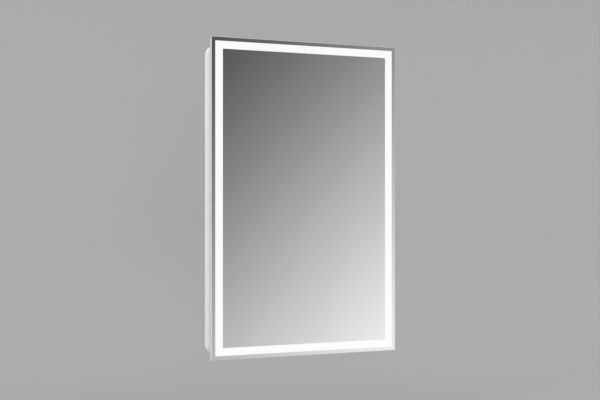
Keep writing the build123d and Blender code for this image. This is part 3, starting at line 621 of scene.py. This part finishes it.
def backdrop():
    """A plain pale floor that curves up into a round wall. Only the camera sees it."""
    floor, radius, cove, top = -1.5, 5.5, 1.2, 4.0
    hub = 0.02  # radius of the flat face in the middle of the floor
    cove_steps, around = 12, 96
    outline = [(hub, floor), (radius - cove, floor)]
    for step in range(1, cove_steps + 1):
        angle = math.pi / 2 * step / cove_steps
        outline.append((radius - cove + cove * math.sin(angle), floor + cove - cove * math.cos(angle)))
    outline.append((radius, top))
    angles = [math.tau * part / around for part in range(around)]
    bm = bmesh.new()
    rings = []
    for reach, z in outline:
        rings.append([bm.verts.new((reach * math.cos(a), reach * math.sin(a), z)) for a in angles])
    for near, far in zip(rings, rings[1:]):
        join_rings(bm, near, far)
    bm.faces.new(rings[0])
    mesh = built_mesh(bm, "backdrop")
    mesh.shade_smooth()
    paint = plain("backdrop_paint", grey(WALL_LEVEL), 0.9, per_metre=30, height=0.2 * MM, mottle=0.01)
    made = piece("backdrop", mesh, paint)
    hide_from(made, "diffuse", "glossy", "transmission", "shadow")


def reflected_level(slope):
    """Display level that the front mirror shows, against the slope across and down the studio.

    It stays near the darkest level up to the knee, with a lift at the far end, and then rises with
    the slope up to the brightest.
    """
    knee, darkest, brightest = 26, 76, 240
    rise_from = 58  # level that the straight rise would have at a slope of 0
    if slope >= knee:
        return min(rise_from + slope, brightest)
    ease, ease_length = 9, 30
    lift, lift_start, lift_length = 40, -40, 120
    eased = ease * math.exp((slope - knee) / ease_length)
    lifted = lift * (1 - math.exp(min(0, slope - lift_start) / lift_length))
    return darkest + eased + lifted


def level_behind(depth):
    """Display level of the studio behind the object, darkest just past its sides."""
    palest, dip, dip_middle, dip_width = 218, 68, 0.25, 0.35
    return palest - dip * math.exp(-(((depth - dip_middle) / dip_width) ** 2))


def studio_reflection():
    """What mirrors and gloss see: a soft sweep from dark, upper left, to light, lower right.

    It is a wide sphere that only glossy rays meet. Behind the object it has a sweep of its own.
    """
    bm = bmesh.new()
    bmesh.ops.create_uvsphere(bm, u_segments=64, v_segments=32, radius=SPHERE_RADIUS)
    mesh = built_mesh(bm, "studio_reflection")
    mesh.shade_smooth()
    material = bpy.data.materials.new("studio_reflection")
    material.use_nodes = True
    tree = material.node_tree
    tree.nodes.clear()

    def node(kind, **settings):
        made = tree.nodes.new(kind)
        for key, value in settings.items():
            setattr(made, key, value)
        return made

    def math_node(operation, *values):
        made = node("ShaderNodeMath", operation=operation)
        for socket, value in zip(made.inputs, values):
            if isinstance(value, (int, float)):
                socket.default_value = value
            else:
                tree.links.new(value, socket)
        return made.outputs["Value"]

    def ramp(source, first, last, level):
        """Greys along source, each of the display level that the function gives."""
        share = math_node("DIVIDE", math_node("SUBTRACT", source, first), last - first)
        made = node("ShaderNodeValToRGB")
        stops = made.color_ramp.elements
        count = 24
        while len(stops) < count:
            stops.new(0.5)
        for index, stop in enumerate(stops):
            stop.position = index / (count - 1)
        for index, stop in enumerate(stops):
            stop.color = grey(level(first + (last - first) * index / (count - 1)))
        tree.links.new(share, made.inputs["Fac"])
        return made.outputs["Color"]

    place = node("ShaderNodeTexCoord").outputs["Object"]
    unit = node("ShaderNodeVectorMath", operation="NORMALIZE")
    tree.links.new(place, unit.inputs[0])
    parts = node("ShaderNodeSeparateXYZ")
    tree.links.new(unit.outputs["Vector"], parts.inputs["Vector"])
    across, into, up = parts.outputs["X"], parts.outputs["Y"], parts.outputs["Z"]

    # the slope is in display levels, and grows to the right and downwards
    gain_right, gain_down, soft_middle = 320, 291, 0.1
    right = math_node("MULTIPLY", math_node("SMOOTH_MAX", across, 0.0, soft_middle), gain_right)
    slope = math_node("SUBTRACT", right, math_node("MULTIPLY", up, gain_down))
    tilt = 0.7  # how much the sweep behind the object also runs upwards
    depth = math_node("ADD", into, math_node("MULTIPLY", up, tilt))

    behind = node("ShaderNodeMapRange", interpolation_type="SMOOTHSTEP")
    half_width = 0.25  # of the zone in which the front's sweep turns into the back's
    behind.inputs["From Min"].default_value = -half_width
    behind.inputs["From Max"].default_value = half_width
    tree.links.new(into, behind.inputs["Value"])
    mix = node("ShaderNodeMix", data_type="RGBA")
    tree.links.new(behind.outputs["Result"], mix.inputs["Factor"])
    front = ramp(slope, first=-150, last=250, level=reflected_level)
    back = ramp(depth, first=-1, last=1.5, level=level_behind)
    tree.links.new(front, mix.inputs[FIRST_COLOUR])
    tree.links.new(back, mix.inputs[SECOND_COLOUR])
    glow = node("ShaderNodeEmission")
    glow.inputs["Strength"].default_value = STUDIO_GAIN
    tree.links.new(mix.outputs[MIXED_COLOUR], glow.inputs["Color"])
    output = node("ShaderNodeOutputMaterial")
    tree.links.new(glow.outputs["Emission"], output.inputs["Surface"])

    made = piece("studio_reflection", mesh, material)
    hide_from(made, "camera", "diffuse", "transmission", "shadow", "volume_scatter")


def area_light(name, place, size, power):
    """A square soft light that faces the middle of the object. Mirrors don't show it."""
    light = bpy.data.lights.new(name, "AREA")
    light.size = size
    light.energy = power
    made = bpy.data.objects.new(name, light)
    made.location = place
    made.rotation_euler = (-Vector(place)).to_track_quat("-Z", "Y").to_euler()
    made.visible_glossy = False
    bpy.context.scene.collection.objects.link(made)


def studio():
    backdrop()
    studio_reflection()
    world = bpy.data.worlds.new("studio")
    world.use_nodes = True
    background = world.node_tree.nodes["Background"]
    background.inputs["Color"].default_value = WORLD_GREY
    bpy.context.scene.world = world
    area_light("key_left", place=(-3.6, -2.4, 2.6), size=3.0, power=125)
    area_light("fill_right", place=(3.4, -2.6, 1.2), size=3.0, power=55)
    area_light("top", place=(0.4, 0.3, 3.6), size=2.5, power=80)
    area_light("rear", place=(1.0, 3.6, 1.0), size=3.0, power=40)
    # grazes the body's left side, so that the door's edge shades it softly
    area_light("graze_left", place=(-1.35, -4.8, 0), size=1.5, power=120)


def camera():
    made = bpy.data.cameras.new("camera")
    made.lens = CAMERA_LENS
    made.shift_y = CAMERA_SHIFT
    holder = bpy.data.objects.new("camera", made)
    holder.location = CAMERA_PLACE
    holder.rotation_euler = (math.radians(90), 0, math.radians(-CAMERA_TURN))
    bpy.context.scene.collection.objects.link(holder)
    bpy.context.scene.camera = holder


studio()
camera()
bpy.context.scene.view_settings.view_transform = "Standard"
